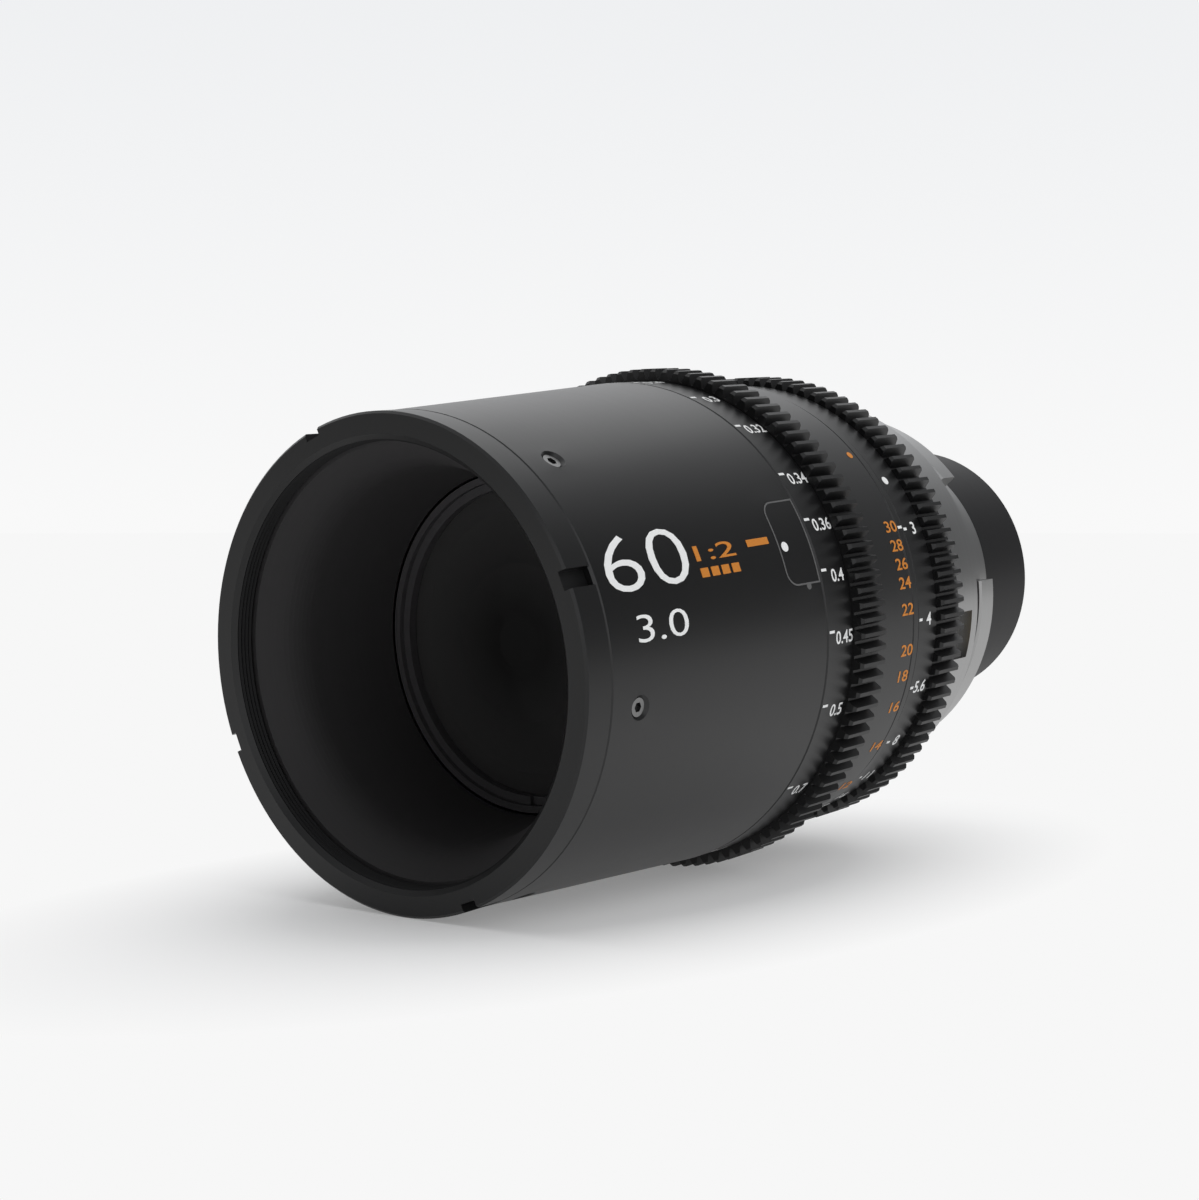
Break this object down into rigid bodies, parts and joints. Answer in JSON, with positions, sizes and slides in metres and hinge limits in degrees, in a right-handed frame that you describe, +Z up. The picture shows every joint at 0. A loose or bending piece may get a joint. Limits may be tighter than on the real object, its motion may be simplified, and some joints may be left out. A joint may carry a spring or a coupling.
{
  "type": "cinema prime lens",
  "caption": "Black cinema prime lens with geared focus and iris rings, a moving lens carriage, an adjustable iris, an open front with filter thread and a steel bayonet camera mount.",
  "frame": {"origin": "on the optical axis at the seat of the camera mount", "axes": "+Y along the optical axis towards the camera, so the front of the lens faces -Y; +Z up as the lens lies in the picture, with its index line 70 degrees from +Z towards +X"},
  "size_m": [0.0896, 0.16, 0.0896],
  "materials": {
    "black_anodised": "satin black anodised, fine turned grain",
    "matt_black": "matt black, anti-reflection",
    "mount_steel": "satin turned steel",
    "screw_steel": "plain machined steel",
    "pin_steel": "ground",
    "brass": "turned",
    "bare_aluminium": "fine turned",
    "coated_glass": "polished, anti-reflection coated",
    "blade_black": "thin spring steel, matt black",
    "white_paint": "engraved marks filled with white paint",
    "orange_paint": "engraved marks filled with orange paint"
  },
  "bodies": {
    "lens_body": {"front_ring": "black_anodised", "front_hood": "matt_black", "front_barrel": "black_anodised", "index_plate": "black_anodised", "set_screws": "screw_steel", "main_tube": "bare_aluminium", "index_ring": "black_anodised", "rear_barrel": "black_anodised", "mount_shim": "brass", "camera_mount": "mount_steel", "mount_screws": "screw_steel", "rear_tube": "black_anodised", "rear_glass": "coated_glass", "rear_retainer": "matt_black"},
    "focus": {"focus_ring": "black_anodised", "focus_gear": "black_anodised"},
    "carriage": {"helicoid_nut": "brass", "drive_pins": "pin_steel", "lens_carriage": "matt_black", "front_glass": "coated_glass", "front_retainer": "matt_black", "second_glass": "coated_glass", "second_retainer": "matt_black", "iris_pins": "pin_steel", "rear_cell": "matt_black", "third_glass": "coated_glass", "third_retainer": "matt_black", "actuator_clip": "pin_steel"},
    "iris": {"iris_ring": "black_anodised", "iris_gear": "black_anodised", "iris_fork": "brass"},
    "actuator": {"iris_actuator": "brass"},
    "blade_1": {"iris_blade_1": "blade_black"},
    "blade_2": {"iris_blade_2": "blade_black"},
    "blade_3": {"iris_blade_3": "blade_black"},
    "blade_4": {"iris_blade_4": "blade_black"},
    "blade_5": {"iris_blade_5": "blade_black"},
    "blade_6": {"iris_blade_6": "blade_black"},
    "blade_7": {"iris_blade_7": "blade_black"},
    "blade_8": {"iris_blade_8": "blade_black"}
  },
  "joints": [
    {"name": "focus_turn", "type": "hinge", "parent": "lens_body", "child": "focus", "pos_m": [0, -0.0598, 0], "axis": [0, 1, 0], "range_deg": [-120, 150]},
    {"name": "carriage_slide", "type": "slide", "parent": "lens_body", "child": "carriage", "axis": [0, -1, 0], "range_m": [-0.008, 0.01]},
    {"name": "iris_turn", "type": "hinge", "parent": "lens_body", "child": "iris", "pos_m": [0, -0.0295, 0], "axis": [0, -1, 0], "range_deg": [0, 84]},
    {"name": "actuator_turn", "type": "hinge", "parent": "carriage", "child": "actuator", "pos_m": [0, -0.043, 0], "axis": [0, -1, 0], "range_deg": [0, 84]},
    {"name": "blade_1_turn", "type": "hinge", "parent": "carriage", "child": "blade_1", "pos_m": [0.0272, -0.0492, 0], "axis": [0, 1, 0], "range_deg": [0, 32.5]},
    {"name": "blade_2_turn", "type": "hinge", "parent": "carriage", "child": "blade_2", "pos_m": [0.01923, -0.04875, -0.01923], "axis": [0, 1, 0], "range_deg": [0, 32.5]},
    {"name": "blade_3_turn", "type": "hinge", "parent": "carriage", "child": "blade_3", "pos_m": [0, -0.0483, -0.0272], "axis": [0, 1, 0], "range_deg": [0, 32.5]},
    {"name": "blade_4_turn", "type": "hinge", "parent": "carriage", "child": "blade_4", "pos_m": [-0.01923, -0.04785, -0.01923], "axis": [0, 1, 0], "range_deg": [0, 32.5]},
    {"name": "blade_5_turn", "type": "hinge", "parent": "carriage", "child": "blade_5", "pos_m": [-0.0272, -0.0474, 0], "axis": [0, 1, 0], "range_deg": [0, 32.5]},
    {"name": "blade_6_turn", "type": "hinge", "parent": "carriage", "child": "blade_6", "pos_m": [-0.01923, -0.04695, 0.01923], "axis": [0, 1, 0], "range_deg": [0, 32.5]},
    {"name": "blade_7_turn", "type": "hinge", "parent": "carriage", "child": "blade_7", "pos_m": [0, -0.0465, 0.0272], "axis": [0, 1, 0], "range_deg": [0, 32.5]},
    {"name": "blade_8_turn", "type": "hinge", "parent": "carriage", "child": "blade_8", "pos_m": [0.01923, -0.04605, 0.01923], "axis": [0, 1, 0], "range_deg": [0, 32.5]}
  ],
  "couplings": [
    {"joint": "carriage_slide", "follows": "focus_turn", "m_per_rad": 0.0038197},
    {"joint": "actuator_turn", "follows": "iris_turn", "ratio": 1},
    {"joint": "blade_1_turn", "follows": "iris_turn", "ratio": 0.3869},
    {"joint": "blade_2_turn", "follows": "iris_turn", "ratio": 0.3869},
    {"joint": "blade_3_turn", "follows": "iris_turn", "ratio": 0.3869},
    {"joint": "blade_4_turn", "follows": "iris_turn", "ratio": 0.3869},
    {"joint": "blade_5_turn", "follows": "iris_turn", "ratio": 0.3869},
    {"joint": "blade_6_turn", "follows": "iris_turn", "ratio": 0.3869},
    {"joint": "blade_7_turn", "follows": "iris_turn", "ratio": 0.3869},
    {"joint": "blade_8_turn", "follows": "iris_turn", "ratio": 0.3869}
  ]
}
